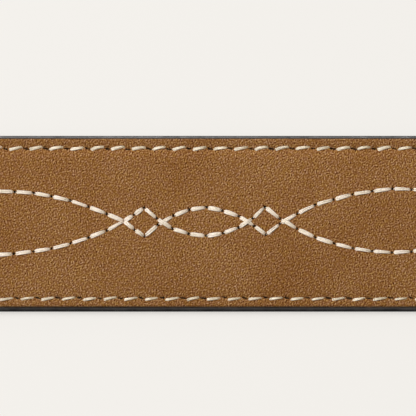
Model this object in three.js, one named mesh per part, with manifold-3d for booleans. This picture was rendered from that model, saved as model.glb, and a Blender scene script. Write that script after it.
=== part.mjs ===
// A stitched suede belt, unbuckled and laid out straight with its face up. Millimetres, +Z up.
// X runs along the strap with the buckle at -X, Y across it, and the origin is under the middle of the whole belt.
import * as THREE from "three";
import { mergeVertices } from "three/addons/utils/BufferGeometryUtils.js";
import Module from "manifold-3d";

const wasm = await Module();
wasm.setup();

// Strap
const strapWidth = 38; // over the painted edges
const edgeRim = 0.8; // painted edge that shows beside the suede
const backingThick = 2.0;
const faceThick = 1.4;
const skivedThick = 0.9; // each layer where it is pared down to turn round the bar
const glueLine = 0.1; // between the two layers
const edgeBevel = 0.7; // upper corners of the backing
const undersideBevel = 0.5;
const faceBevel = 0.4;

// Length: a belt of size 85, from the bar to the middle hole
const barToMiddleHole = 850;
const holeCount = 5;
const holePitch = 25;
const holeRadius = 2.5;
const lastHoleToTip = 70;
const tipLength = 24;

// Buckle, keeper and turned-back end
const barRadius = 2.0;
const foldClearance = 0.3; // between the bar and the leather round it
const frameReach = 30; // from the bar to the middle of the front rod
const frameInside = 40; // window across the strap
const frontCorner = 7; // radius of the rod's middle line
const barCorner = 2.5;
const frameRod = { wide: 2.6, high: 2.2 }; // half sizes of the rod's section at the front
const frameLift = 0.05; // front rod's clearance over the surface
const prongEye = { wall: 1.5, width: 4.4 };
const slotHalfWidth = 3.25; // for the prong's eye
const slotReach = 9; // slot's round end, from the bar
const keeperFromBar = 33;
const keeperWidth = 12;
const keeperThick = 1.2;
const keeperCorner = 2.6; // outside
const keeperSideGap = 0.5;
const keeperGap = 4.5; // free height for the strap's tip
const layerGap = 0.1; // between leathers that lie on each other

const foldRadius = barRadius + foldClearance;
const skivedStrap = 2 * skivedThick + glueLine;
const fullStrap = backingThick + glueLine + faceThick;
const barHeight = foldRadius + skivedStrap;
const frameTilt = Math.asin((barHeight - frameRod.high - frameLift) / frameReach);
const frontReach = frameReach * Math.cos(frameTilt) + frameRod.wide;
const barToTip = barToMiddleHole + ((holeCount - 1) / 2) * holePitch + lastHoleToTip;
const barX = frontReach - (frontReach + barToTip) / 2;
const tipX = barX + barToTip;
const cutDepth = 4 * barHeight; // of the tools that cut right through the strap
const up = new THREE.Vector3(0, 0, 1);

const leatherFace = new THREE.MeshStandardMaterial({ color: 0x865d37, roughness: 0.95, metalness: 0 });
const leatherDark = new THREE.MeshStandardMaterial({ color: 0x2b2b2e, roughness: 0.5, metalness: 0 });
const nickel = new THREE.MeshStandardMaterial({ color: 0xb4b0a8, roughness: 0.3, metalness: 1 });

// One closed skin over a row of rings of points. A closed row joins its last ring to its first.
function skin(rings, closed = false) {
  const sides = rings[0].length;
  const last = closed ? rings.length : rings.length - 1;
  const index = [];
  for (let i = 0; i < last; i++) {
    const a = i * sides;
    const b = ((i + 1) % rings.length) * sides;
    for (let j = 0; j < sides; j++) {
      const k = (j + 1) % sides;
      index.push(a + j, a + k, b + j, b + j, a + k, b + k);
    }
  }
  if (!closed) {
    const end = (rings.length - 1) * sides;
    for (let j = 1; j < sides - 1; j++) index.push(0, j + 1, j, end, end + j, end + j + 1);
  }
  const geometry = new THREE.BufferGeometry().setFromPoints(rings.flat());
  geometry.setIndex(index);
  return geometry;
}

// A closed geometry as a manifold solid, turned right side out if its rings ran the other way.
function toSolid(geometry) {
  const bare = geometry.clone();
  bare.deleteAttribute("normal");
  bare.deleteAttribute("uv");
  const merged = mergeVertices(bare, 1e-4);
  const build = (triVerts) =>
    new wasm.Manifold(
      new wasm.Mesh({ numProp: 3, vertProperties: merged.attributes.position.array, triVerts }),
    );
  const triVerts = new Uint32Array(merged.index.array);
  const made = build(triVerts);
  return made.volume() > 0 ? made : build(triVerts.reverse());
}

function toGeometry(solid) {
  const { vertProperties, triVerts } = solid.getMesh();
  const geometry = new THREE.BufferGeometry();
  geometry.setAttribute("position", new THREE.BufferAttribute(vertProperties, 3));
  geometry.setIndex(new THREE.BufferAttribute(triVerts, 1));
  geometry.computeVertexNormals();
  return geometry;
}

function piece(name, solid, material) {
  const mesh = new THREE.Mesh(toGeometry(solid), material);
  mesh.name = name;
  return mesh;
}

const ease = (t) => t * t * (3 - 2 * t);

// The strap's inner surface near the buckle, with x from the bar. Lift is that surface's height, and skive is 0 at
// full thickness and 1 where both layers are pared down.
const upperRun = [
  { x: 74, lift: 0, skive: 0 }, // flat on the surface
  { x: 60, lift: 1.1, skive: 0 }, // over the thin end of the turned-back part
  { x: keeperFromBar + keeperWidth + 3, lift: skivedStrap + keeperThick + 2 * layerGap, skive: 0 },
  { x: keeperFromBar - 3, lift: skivedStrap + keeperThick + 2 * layerGap, skive: 0.1 },
  { x: 15, lift: 4.2, skive: 0.7 }, // close behind the bar
  { x: 0, lift: barHeight + foldRadius, skive: 1 }, // top of the fold
];
const lowerRun = [
  { x: 0, lift: skivedStrap, skive: 1 },
  { x: 50, lift: skivedStrap, skive: 1 },
  { x: 62, lift: 0.8, skive: 1.7 }, // thin pared end
];

// Stations along one run, with each stretch between two rows of its table eased in and out.
function runStations(rows, steps) {
  const stations = [];
  for (let i = 0; i < rows.length - 1; i++) {
    const a = rows[i];
    const b = rows[i + 1];
    for (let s = i ? 1 : 0; s <= steps; s++) {
      const t = s / steps;
      stations.push({
        x: barX + a.x + (b.x - a.x) * t,
        z: a.lift + (b.lift - a.lift) * ease(t),
        skive: a.skive + (b.skive - a.skive) * ease(t),
      });
    }
  }
  return stations;
}

// The strap's inner surface from its flat stretch over the keeper, round the bar and back under itself, with its
// outward normals.
function turnStations() {
  const stations = runStations(upperRun, 6);
  const foldSteps = 16;
  for (let i = 1; i < foldSteps; i++) {
    const angle = (Math.PI * i) / foldSteps;
    stations.push({
      x: barX - foldRadius * Math.sin(angle),
      z: barHeight + foldRadius * Math.cos(angle),
      skive: 1,
    });
  }
  stations.push(...runStations(lowerRun, 4));
  stations.forEach((s, i) => {
    const a = stations[i - 1] ?? { x: s.x + 1, z: s.z };
    const b = stations[i + 1] ?? s;
    const run = Math.hypot(b.x - a.x, b.z - a.z);
    s.normal = { x: (b.z - a.z) / run, z: (a.x - b.x) / run };
  });
  return stations;
}

// Section of one layer: a flat band from depth low to high above the inner surface, with pared corners.
function bandRing(station, halfWidth, low, high, topBevel, bottomBevel) {
  const top = Math.min(topBevel, 0.45 * (high - low), 0.4 * halfWidth);
  const bottom = Math.min(bottomBevel, 0.45 * (high - low), 0.4 * halfWidth);
  const corners = [
    [-halfWidth + bottom, low],
    [halfWidth - bottom, low],
    [halfWidth, low + bottom],
    [halfWidth, high - top],
    [halfWidth - top, high],
    [-halfWidth + top, high],
    [-halfWidth, high - top],
    [-halfWidth, low + bottom],
  ];
  const { x, z, normal } = station;
  return corners.map(([y, depth]) => new THREE.Vector3(x + normal.x * depth, y, z + normal.z * depth));
}

// One layer of the strap's flat stretch, from its round tip. Its sides stand in by inset from the painted edge.
function flatLayer({ inset, depths, topBevel, bottomBevel }) {
  const halfWidth = strapWidth / 2 - inset;
  const ring = (x, half) => bandRing({ x, z: 0, normal: up }, half, ...depths(0), topBevel, bottomBevel);
  const rings = [];
  const tipSteps = 14;
  for (let i = 0; i <= tipSteps; i++) {
    const angle = (Math.PI / 2) * Math.max(1 - (i + 0.4) / tipSteps, 0);
    rings.push(ring(tipX - tipLength + (tipLength - inset) * Math.sin(angle), halfWidth * Math.cos(angle)));
  }
  rings.push(ring(barX + upperRun[0].x + layerGap, halfWidth));
  return toSolid(skin(rings));
}

// The same layer from there on, which turns round the bar.
function turnedLayer({ inset, depths, topBevel, bottomBevel }) {
  const ring = (s) => bandRing(s, strapWidth / 2 - inset, ...depths(s.skive), topBevel, bottomBevel);
  return toSolid(skin(turnStations().map(ring)));
}

const pared = (full, skive) => (skive <= 1 ? full + (skivedThick - full) * skive : skivedThick * (2 - skive));

function backingDepths(skive) {
  return [0, pared(backingThick, skive)];
}

function faceDepths(skive) {
  const low = pared(backingThick, skive) + glueLine;
  return [low, low + pared(faceThick, skive)];
}

function prongHoles() {
  return Array.from({ length: holeCount }, (_, i) => {
    const hole = new THREE.CylinderGeometry(holeRadius, holeRadius, cutDepth, 24);
    hole.rotateX(Math.PI / 2);
    hole.translate(barX + barToMiddleHole + (i - (holeCount - 1) / 2) * holePitch, 0, 0);
    return toSolid(hole);
  });
}

// The long slot round the fold that clears the prong's eye.
function prongSlot() {
  const slot = new THREE.Shape();
  slot.moveTo(-2 * slotReach, -slotHalfWidth);
  slot.lineTo(slotReach - slotHalfWidth, -slotHalfWidth);
  slot.absarc(slotReach - slotHalfWidth, 0, slotHalfWidth, -Math.PI / 2, Math.PI / 2, false);
  slot.lineTo(-2 * slotReach, slotHalfWidth);
  slot.closePath();
  const block = new THREE.ExtrudeGeometry(slot, { depth: cutDepth, bevelEnabled: false, curveSegments: 10 });
  block.translate(barX, 0, -cutDepth / 4);
  return toSolid(block);
}

// Both layers, each with its flat stretch and its turned end as nodes of their own, so that the collision follows
// the turn.
function strap() {
  const face = { inset: edgeRim, depths: faceDepths, topBevel: faceBevel, bottomBevel: 0 };
  const backing = { inset: 0, depths: backingDepths, topBevel: edgeBevel, bottomBevel: undersideBevel };
  const holes = prongHoles();
  const slot = prongSlot();
  const punched = (layer) => holes.reduce((rest, hole) => rest.subtract(hole), layer);
  const group = new THREE.Group();
  group.add(
    piece("strap_face", punched(flatLayer(face)), leatherFace),
    piece("strap_backing", punched(flatLayer(backing)), leatherDark),
    piece("strap_face_turn", turnedLayer(face).subtract(slot), leatherFace),
    piece("strap_backing_turn", turnedLayer(backing).subtract(slot), leatherDark),
  );
  return group;
}

// Points of a rounded rectangle in its own plane, each with its outward direction. Its corners at +u and at -u may
// differ in radius.
function roundedLoop(halfLong, halfShort, plusRadius, minusRadius, cornerSteps) {
  const corners = [
    { sideU: 1, sideV: 1, radius: plusRadius, from: 0 },
    { sideU: -1, sideV: 1, radius: minusRadius, from: Math.PI / 2 },
    { sideU: -1, sideV: -1, radius: minusRadius, from: Math.PI },
    { sideU: 1, sideV: -1, radius: plusRadius, from: (3 * Math.PI) / 2 },
  ];
  return corners.flatMap(({ sideU, sideV, radius, from }) =>
    Array.from({ length: cornerSteps + 1 }, (_, i) => {
      const angle = from + ((Math.PI / 2) * i) / cornerSteps;
      return {
        u: sideU * (halfLong - radius) + radius * Math.cos(angle),
        v: sideV * (halfShort - radius) + radius * Math.sin(angle),
        outU: Math.cos(angle),
        outV: Math.sin(angle),
      };
    }),
  );
}

// The keeper: a flat leather band bent into a rounded loop, with its lower run between the strap's two runs.
function keeper() {
  const bottom = skivedStrap + layerGap;
  const insideHeight = layerGap + fullStrap + keeperGap;
  const halfHigh = (insideHeight + 2 * keeperThick) / 2;
  const halfWide = strapWidth / 2 + keeperSideGap + keeperThick;
  const softCorner = 0.3;
  const rings = roundedLoop(halfWide, halfHigh, keeperCorner, keeperCorner, 5).map(({ u, v, outU, outV }) => {
    const section = [
      [softCorner, 0],
      [keeperWidth - softCorner, 0],
      [keeperWidth, softCorner],
      [keeperWidth, keeperThick],
      [0, keeperThick],
      [0, softCorner],
    ];
    return section.map(([x, inward]) => new THREE.Vector3(x, u - outU * inward, v - outV * inward));
  });
  const mesh = piece("keeper", toSolid(skin(rings, true)), leatherFace);
  mesh.position.set(barX + keeperFromBar, 0, bottom + halfHigh);
  return mesh;
}

// An oval rod's section round a point, standing across the direction out.
function rodRing(centre, out, up, wide, high, sides) {
  return Array.from({ length: sides }, (_, i) => {
    const angle = (2 * Math.PI * i) / sides;
    return centre
      .clone()
      .addScaledVector(out, wide * Math.cos(angle))
      .addScaledVector(up, high * Math.sin(angle));
  });
}

// The frame with its bar: one closed loop of rod, thinner where it is the bar.
function buckleFrame() {
  const halfAcross = frameInside / 2 + barRadius;
  const rings = roundedLoop(frameReach / 2, halfAcross, barCorner, frontCorner, 8).map(({ u, v, outU, outV }) => {
    const toFront = (1 - u / (frameReach / 2)) / 2;
    const wide = barRadius + (frameRod.wide - barRadius) * ease(toFront);
    const high = barRadius + (frameRod.high - barRadius) * ease(toFront);
    const centre = new THREE.Vector3(u - frameReach / 2, v, 0);
    return rodRing(centre, new THREE.Vector3(outU, outV, 0), up, wide, high, 16);
  });
  return toSolid(skin(rings, true));
}

// The prong's middle line, from inside its eye to just past the front rod, with the rod's half sizes.
const prongRows = [
  { x: 1.5, z: 2.6, wide: 2.1, high: 1.0 },
  { x: -3, z: 3.6, wide: 2.1, high: 1.2 },
  { x: -10, z: 4.1, wide: 2.0, high: 1.4 },
  { x: -22, z: 4.2, wide: 1.8, high: 1.4 },
  { x: -28.5, z: 3.8, wide: 1.7, high: 1.3 },
  { x: -31.8, z: 3.2, wide: 1.4, high: 1.0 },
];

function buckleProng() {
  const across = new THREE.Vector3(0, 1, 0);
  const rings = prongRows.map(({ x, z, wide, high }) =>
    rodRing(new THREE.Vector3(x, 0, z), across, up, wide, high, 12),
  );
  const eyeRadius = barRadius + prongEye.wall;
  const eye = new THREE.CylinderGeometry(eyeRadius, eyeRadius, prongEye.width, 24);
  return toSolid(skin(rings)).add(toSolid(eye));
}

function buckle() {
  const group = new THREE.Group();
  group.add(piece("buckle", buckleFrame().add(buckleProng()), nickel));
  group.position.set(barX, 0, barHeight);
  group.rotation.y = -frameTilt;
  return group;
}

const belt = new THREE.Group();
belt.add(strap(), keeper(), buckle());
export default belt;
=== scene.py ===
# A stitched suede belt, unbuckled and laid out straight with its face up. X runs along the strap, with the
# buckle at -X, and Z is up. Lengths are millimetres until a mesh is made from them.
from math import asin, atan2, ceil, cos, hypot, pi, radians, sin, sqrt, tan

import bpy
import numpy as np
from mathutils import Matrix, Vector
from mathutils.geometry import delaunay_2d_cdt


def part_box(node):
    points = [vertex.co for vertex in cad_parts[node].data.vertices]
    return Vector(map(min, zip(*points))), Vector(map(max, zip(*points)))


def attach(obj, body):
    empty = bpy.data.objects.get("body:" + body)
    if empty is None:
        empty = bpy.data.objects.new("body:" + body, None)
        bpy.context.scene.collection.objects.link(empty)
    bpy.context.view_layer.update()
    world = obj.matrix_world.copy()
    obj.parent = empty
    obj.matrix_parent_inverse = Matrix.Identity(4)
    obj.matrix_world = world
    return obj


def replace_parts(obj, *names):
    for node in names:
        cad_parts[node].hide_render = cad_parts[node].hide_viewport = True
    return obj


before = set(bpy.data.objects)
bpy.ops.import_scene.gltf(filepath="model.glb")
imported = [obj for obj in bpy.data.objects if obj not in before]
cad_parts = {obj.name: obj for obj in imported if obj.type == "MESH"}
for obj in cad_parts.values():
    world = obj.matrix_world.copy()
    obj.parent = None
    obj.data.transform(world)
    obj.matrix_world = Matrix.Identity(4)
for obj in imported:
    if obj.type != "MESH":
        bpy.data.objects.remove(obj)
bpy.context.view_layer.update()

mm = 0.001
rng = np.random.default_rng(38)


def nodeBox(name):
    return [np.array(corner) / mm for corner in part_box(name)]


def table(columns, *rows):
    return [dict(zip(columns.split(), row)) for row in rows]


# The strap in its flat state: u runs along it as X does, y across it, and h up from its underside.
flatBox = nodeBox("strap_backing")
turnBox = nodeBox("strap_backing_turn")
strap = {
    "halfWidth": flatBox[1][1] + 0.08,  # with the paint's own thickness
    "tipX": flatBox[1][0],
    "tipLength": 24.0,
    "endCorner": 4.0,  # radius of the turned-back end's corners
    "backing": 2.0,
    "glue": 0.1,
    "face": 1.4,
    "pared": 0.9,  # each layer where it turns round the bar
    "rim": 0.752,  # painted edge beside the suede
    "offCentre": 0.037,  # of the suede, towards the strap's back edge
    "holeRadius": 2.5,
    "holeSides": 32,
    "holePitch": 25.0,
    "holeCount": 5,
    "lastHoleToTip": 70.0,
}
turn = {
    "foldRadius": 2.3,
    "foldSteps": 32,
    "keeperFrom": 33.0,
    "keeperWidth": 12.0,
    "keeperThick": 1.2,
    "gap": 0.1,
    "slotHalfWidth": 3.25,
    "slotReach": 9.0,
}
faceLow = strap["backing"] + strap["glue"]
faceTop = faceLow + strap["face"]
paredStrap = 2 * strap["pared"] + strap["glue"]
barHeight = turn["foldRadius"] + paredStrap
barX = turnBox[0][0] + turn["foldRadius"] + strap["pared"]
overKeeper = paredStrap + turn["keeperThick"] + 2 * turn["gap"]
tipStart = strap["tipX"] - strap["tipLength"]

# Height of the strap's inner surface, with x from the bar. Skive is 1 where both layers are pared.
upperRun = table("x lift skive",
                 (74.0, 0.0, 0.0),
                 (60.0, 1.1, 0.0),
                 (turn["keeperFrom"] + turn["keeperWidth"] + 3.0, overKeeper, 0.0),
                 (turn["keeperFrom"] - 3.0, overKeeper, 0.1),
                 (15.0, 4.2, 0.7),
                 (0.0, barHeight + turn["foldRadius"], 1.0))
lowerRun = table("x lift skive", (0.0, paredStrap, 1.0), (50.0, paredStrap, 1.0), (62.0, 0.8, 1.7))


def eased(t):
    return t * t * (3 - 2 * t)


def between(first, last, share):
    return first + (last - first) * share


def runRows(rows, steps=16):
    found = []
    for a, b in zip(rows, rows[1:]):
        for t in np.linspace(0, 1, steps + 1)[1 if found else 0 :]:
            lift, skive = (between(a[k], b[k], eased(t)) for k in ("lift", "skive"))
            found.append((barX + between(a["x"], b["x"], t), lift, skive))
    return found


def pared(full, skive):
    thin = between(full, strap["pared"], skive)
    return np.where(skive <= 1, thin, strap["pared"] * (2 - skive))


# The strap's inner surface from end to end: where each u lies, its direction outwards, and each layer's share
# of its full thickness.
def strapPath():
    upper, lower = runRows(upperRun), runRows(lowerRun)
    radius = turn["foldRadius"]
    fold = []
    for angle in np.linspace(0, pi, turn["foldSteps"] + 1)[1:-1]:
        fold.append((barX - radius * sin(angle), barHeight + radius * cos(angle), 1.0))
    x, z, skive = np.array(upper + fold + lower).T
    along = np.concatenate([[0], np.cumsum(np.hypot(np.diff(x), np.diff(z)))])
    slopeX, slopeZ = np.gradient(x, along), np.gradient(z, along)
    size = np.hypot(slopeX, slopeZ)
    u = x[0] - along
    columns = {
        "u": u,
        "x": x,
        "z": z,
        "normalX": slopeZ / size,
        "normalZ": -slopeX / size,
        "backing": pared(strap["backing"], skive) / strap["backing"],
        "face": pared(strap["face"], skive) / strap["face"],
    }
    foldEnds = (u[len(upper) - 1], u[len(upper) + len(fold)])
    return {key: value[::-1] for key, value in columns.items()}, foldEnds


path, (foldFrom, foldTo) = strapPath()
flatX = path["u"][-1]
endU = path["u"][0]
foldMiddle = (foldFrom + foldTo) / 2
holeX = [strap["tipX"] - strap["lastHoleToTip"] - i * strap["holePitch"] for i in range(strap["holeCount"])]
slotReachU = (foldFrom - foldTo) / 2 + turn["slotReach"]


# From the flat state to the belt as it lies, over the keeper and round the bar.
def bend(points):
    u, y, h = np.asarray(points, float).T
    at = {key: np.interp(u, path["u"], path[key]) for key in path}
    depth = np.minimum(h, strap["backing"]) * at["backing"] + np.clip(h - strap["backing"], 0, strap["glue"])
    depth = depth + np.clip(h - faceLow, 0, strap["face"]) * at["face"] + np.maximum(h - faceTop, 0)
    turned = u < flatX
    x = np.where(turned, at["x"] + at["normalX"] * depth, u)
    z = np.where(turned, at["z"] + at["normalZ"] * depth, h)
    return np.stack([x, y, z], axis=-1)


# Distance in from the strap's outline.
def insetOf(u, y):
    side = strap["halfWidth"] - np.abs(y)
    longPart, shortPart = (u - tipStart) / strap["tipLength"], y / strap["halfWidth"]
    level = np.sqrt(np.maximum(longPart**2 + shortPart**2, 1e-9))
    slope = np.hypot(longPart / strap["tipLength"], shortPart / strap["halfWidth"]) / level
    return np.where(u > tipStart, (1 - level) / slope, np.minimum(side, u - endU))


# From 0 at the strap's front edge to 1 at its back edge.
def backShare(y):
    return eased(np.clip(0.5 + y / (2 * strap["halfWidth"]), 0, 1))


def holeDistance(u, y):
    return np.min([np.hypot(u - x, y) for x in holeX], axis=0) - strap["holeRadius"]


def slotDistance(u, y):
    straight = slotReachU - turn["slotHalfWidth"]
    beyond = np.maximum(np.abs(u - foldMiddle) - straight, 0)
    return np.hypot(beyond, y) - turn["slotHalfWidth"]


def openStrap(u, y):
    return (holeDistance(u, y) > 0) & (slotDistance(u, y) > 0)


# Steps along the strap, close together where it bends.
def alongSteps(low, high, flatStep, turnStep=1.5, foldStep=0.45, foldMargin=2):
    stops = [low]
    while stops[-1] < high:
        u = stops[-1]
        step = flatStep if u >= flatX else turnStep
        if foldTo - foldMargin < u < foldFrom + foldMargin:
            step = foldStep
        stops.append(u + step)
    return np.array(stops[:-1] + [high])


# Points of the strap's outline with their outward directions, anticlockwise from the turned-back end.
def outlineRows(flatStep, tipSteps=48, cornerSteps=6):
    half, corner, long = strap["halfWidth"], strap["endCorner"], strap["tipLength"]
    side = alongSteps(endU + corner, tipStart, flatStep)
    flat = np.full(len(side), 1.0)
    tip = np.linspace(-pi / 2, pi / 2, tipSteps + 1)[1:-1]
    outward = np.c_[np.cos(tip) / long, np.sin(tip) / half]
    outward /= np.linalg.norm(outward, axis=1)[:, None]
    parts = [
        (np.c_[side, -half * flat], np.c_[0 * flat, -flat]),
        (np.c_[tipStart + long * np.cos(tip), half * np.sin(tip)], outward),
        (np.c_[side[::-1], half * flat], np.c_[0 * flat, flat]),
    ]
    for centreY, angle in ((half - corner, pi / 2), (corner - half, pi)):
        turnAngles = angle + np.linspace(0, pi / 2, cornerSteps + 1)[1:]
        spoke = np.c_[np.cos(turnAngles), np.sin(turnAngles)]
        parts.append((np.array([endU + corner, centreY]) + corner * spoke, spoke))
    points, normals = (np.concatenate(column) for column in zip(*parts))
    return points[:-1], normals[:-1]


def insetLoop(rows, inset):
    return rows[0] - inset * rows[1]


def around(sides):
    return 2 * pi * np.arange(sides) / sides


def circleLoop(centre, radius, sides, squash=1.0, tilt=0.0):
    a, b = radius * np.cos(around(sides)), radius * squash * np.sin(around(sides))
    return np.c_[centre[0] + a * cos(tilt) - b * sin(tilt),
                 centre[1] + a * sin(tilt) + b * cos(tilt)]


def holeLoops(grow=0.0):
    return [circleLoop((x, 0), strap["holeRadius"] + grow, strap["holeSides"]) for x in holeX]


def slotLoop(grow, flatStep=1.5, endSteps=12):
    straight, radius = slotReachU - turn["slotHalfWidth"], turn["slotHalfWidth"] + grow
    sides = alongSteps(foldMiddle - straight, foldMiddle + straight, flatStep)
    ends = np.linspace(-pi / 2, pi / 2, endSteps + 1)[1:-1]
    right = np.c_[foldMiddle + straight + radius * np.cos(ends), radius * np.sin(ends)]
    left = np.c_[foldMiddle - straight - radius * np.cos(ends), -radius * np.sin(ends)]
    low = np.c_[sides, np.full(len(sides), -radius)]
    high = np.c_[sides[::-1], np.full(len(sides), radius)]
    return np.concatenate([low, right, high, left])


# Points over a flat sheet, in rows along the strap that stop at a margin from its sides.
def gridPoints(us, rows, margin):
    ys = np.linspace(-1, 1, rows) * (strap["halfWidth"] - margin)
    return np.stack(np.meshgrid(us, ys, indexing="ij"), -1).reshape(-1, 2)


# Points that let a flat sheet follow the bends at the buckle end.
def turnGrid(margin, flatStep=4.0, rows=13, clearOfSlot=0.3, slack=0.2):
    grid = gridPoints(alongSteps(endU + 1, flatX + flatStep, flatStep), rows, margin)
    return grid[(insetOf(*grid.T) > margin - slack) & (slotDistance(*grid.T) > clearOfSlot)]


# Flat triangles over closed loops, which stay as edges, and loose points. Keep says which triangles stay.
def triangulate(loops, loose, keep, tiniest=1e-7):
    edges, start = [], 0
    for loop in loops:
        count = len(loop)
        edges += [(start + i, start + (i + 1) % count) for i in range(count)]
        start += count
    points = np.concatenate(list(loops) + [loose])
    found = delaunay_2d_cdt([Vector(p) for p in points.tolist()], edges, [], 0, 1e-6)
    flat = np.array([(v[0], v[1]) for v in found[0]])
    triangles = np.array(found[2])
    a, b, c = (flat[triangles[:, i]] for i in range(3))
    area = (b[:, 0] - a[:, 0]) * (c[:, 1] - a[:, 1]) - (b[:, 1] - a[:, 1]) * (c[:, 0] - a[:, 0])
    triangles[area < 0] = triangles[area < 0][:, ::-1]
    triangles = triangles[(np.abs(area) > tiniest) & keep(*((a + b + c) / 3).T)]
    places = np.zeros(len(points), int)
    for new, olds in enumerate(found[3]):
        places[list(olds)] = new
    starts = np.cumsum([0] + [len(loop) for loop in loops])
    return flat, triangles, [places[i:j] for i, j in zip(starts, starts[1:])]


# Faces of a sheet, with its points counted from first, and turned over if it looks down.
def sheetFaces(triangles, first=0, down=False):
    return [tuple(f[::-1] if down else f) for f in (triangles + first).tolist()]


# Walls between two sheets, with their points counted from first. The first pair of loops is the outline, and
# the others are holes, which face inwards.
def walls(lowLoops, lowFirst, highLoops, highFirst):
    faces = []
    for i, (low, high) in enumerate(zip(lowLoops, highLoops)):
        low, high, count = (low + lowFirst).tolist(), (high + highFirst).tolist(), len(low)
        wall = [(low[j], low[(j + 1) % count], high[(j + 1) % count], high[j]) for j in range(count)]
        faces += wall if i == 0 else [f[::-1] for f in wall]
    return faces


# A skin over rings of points. Closed joins the last ring to the first, and otherwise both ends are capped.
def loftFaces(ringCount, sides, closed, first=0):
    faces = []
    for i in range(ringCount if closed else ringCount - 1):
        a, b = first + i * sides, first + (i + 1) % ringCount * sides
        faces += [(a + j, a + (j + 1) % sides, b + (j + 1) % sides, b + j) for j in range(sides)]
    if not closed:
        end = first + (ringCount - 1) * sides
        faces.append(tuple(first + j for j in reversed(range(sides))))
        faces.append(tuple(end + j for j in range(sides)))
    return faces


def newMesh(name, points, faces):
    mesh = bpy.data.meshes.new(name)
    mesh.from_pydata((np.asarray(points) * mm).tolist(), [], faces)
    return mesh


def newObject(name, data):
    found = bpy.data.objects.new(name, data)
    bpy.context.scene.collection.objects.link(found)
    return found


def smoothPiece(name, mesh, sharp):
    mesh.shade_smooth()
    mesh.set_sharp_from_angle(angle=radians(sharp))
    print(f"{name}: {sum(len(p.vertices) - 2 for p in mesh.polygons)} triangles")
    return newObject(name, mesh)


def makePiece(name, points, faces, materials, values=None, faceMaterials=None, sharp=40.0):
    mesh = newMesh(name, points, faces)
    for key, numbers in (values or {}).items():
        numbers = np.asarray(numbers, np.float32)
        isVector = numbers.ndim == 2
        layer = mesh.attributes.new(key, "FLOAT_VECTOR" if isVector else "FLOAT", "POINT")
        layer.data.foreach_set("vector" if isVector else "value", numbers.ravel())
    for material in materials:
        mesh.materials.append(material)
    if faceMaterials is not None:
        mesh.polygons.foreach_set("material_index", faceMaterials)
    mesh.validate()
    piece = smoothPiece(name, mesh, sharp)
    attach(piece, "root")
    return piece


# Shader helpers
def newMaterial(name):
    material = bpy.data.materials.new(name)
    material.use_nodes = True
    tree = material.node_tree
    return material, tree, tree.nodes["Principled BSDF"]


# Links a socket, or sets a constant on it.
def feed(tree, socket, value):
    if isinstance(value, bpy.types.NodeSocket):
        tree.links.new(value, socket)
    else:
        socket.default_value = value


# Inputs go by their labels in camel case, such as baseColor.
def setInputs(tree, node, **inputs):
    sockets = {"".join(s.name.split()).lower(): s for s in reversed(node.inputs) if s.enabled}
    for key, value in inputs.items():
        feed(tree, sockets[key.lower()], value)


def addNode(tree, kind, settings=None, **inputs):
    node = tree.nodes.new(kind)
    for key, value in (settings or {}).items():
        setattr(node, key, value)
    setInputs(tree, node, **inputs)
    return node


def mathNode(tree, operation, *values):
    node = addNode(tree, "ShaderNodeMath", {"operation": operation})
    for socket, value in zip(node.inputs, values):
        feed(tree, socket, value)
    return node.outputs[0]


def mixColours(tree, share, first, second, blend="MIX"):
    node = addNode(tree, "ShaderNodeMix", {"data_type": "RGBA", "blend_type": blend})
    setInputs(tree, node, factor=share, a=first, b=second)
    return next(s for s in node.outputs if s.enabled)


def times(tree, first, second):
    return mathNode(tree, "MULTIPLY", first, second)


def tinted(tree, colour, tint):
    return mixColours(tree, 1.0, colour, tint, "MULTIPLY")


def remap(tree, value, low, high, toLow=0.0, toHigh=1.0):
    node = addNode(tree, "ShaderNodeMapRange", {"clamp": True}, value=value, fromMin=low, fromMax=high,
                   toMin=toLow, toMax=toHigh)
    return node.outputs["Result"]


def noise(tree, vector, scale, detail=2.0, roughness=0.5, distortion=0.0):
    return addNode(tree, "ShaderNodeTexNoise", vector=vector, scale=scale, detail=detail,
                   roughness=roughness, distortion=distortion).outputs["Fac"]


def attribute(tree, name, output="Fac"):
    return addNode(tree, "ShaderNodeAttribute", {"attribute_name": name}).outputs[output]


def partY(tree, vector):
    return addNode(tree, "ShaderNodeSeparateXYZ", vector=vector).outputs["Y"]


def objectPlace(tree):
    return tree.nodes.new("ShaderNodeTexCoord").outputs["Object"]


def addBump(tree, shader, height, distance, strength=1.0):
    bump = addNode(tree, "ShaderNodeBump", height=height, strength=strength, distance=distance * mm)
    setInputs(tree, shader, normal=bump.outputs["Normal"])


def perMetre(size):
    return 1 / (size * mm)


def newGroup(name, inputs, outputs):
    group = bpy.data.node_groups.new(name, "ShaderNodeTree")
    for label, kind, value in inputs:
        socket = group.interface.new_socket(label, in_out="INPUT", socket_type=kind)
        if value is not None:
            socket.default_value = value
    for label in outputs:
        group.interface.new_socket(label, in_out="OUTPUT", socket_type="NodeSocketFloat")
    return group, group.nodes.new("NodeGroupInput").outputs, group.nodes.new("NodeGroupOutput")


def placeGroup(tree, group, **inputs):
    return addNode(tree, "ShaderNodeGroup", {"node_tree": group}, **inputs).outputs


# Short curly fibres of a napped surface, with soft patches where they lie another way.
fibreLook = {
    "leaning": -30.0,  # degrees between the strap's cross direction and the long side of a fibre
    "stretch": (0.92, 1.1, 1.0),
    "aligned": 0.17,  # share of the fibres that lie the same way
    "alignedTo": -5.0,
    "frequency": 1.1,
    "tintPerFibre": 0.85,
}


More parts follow.
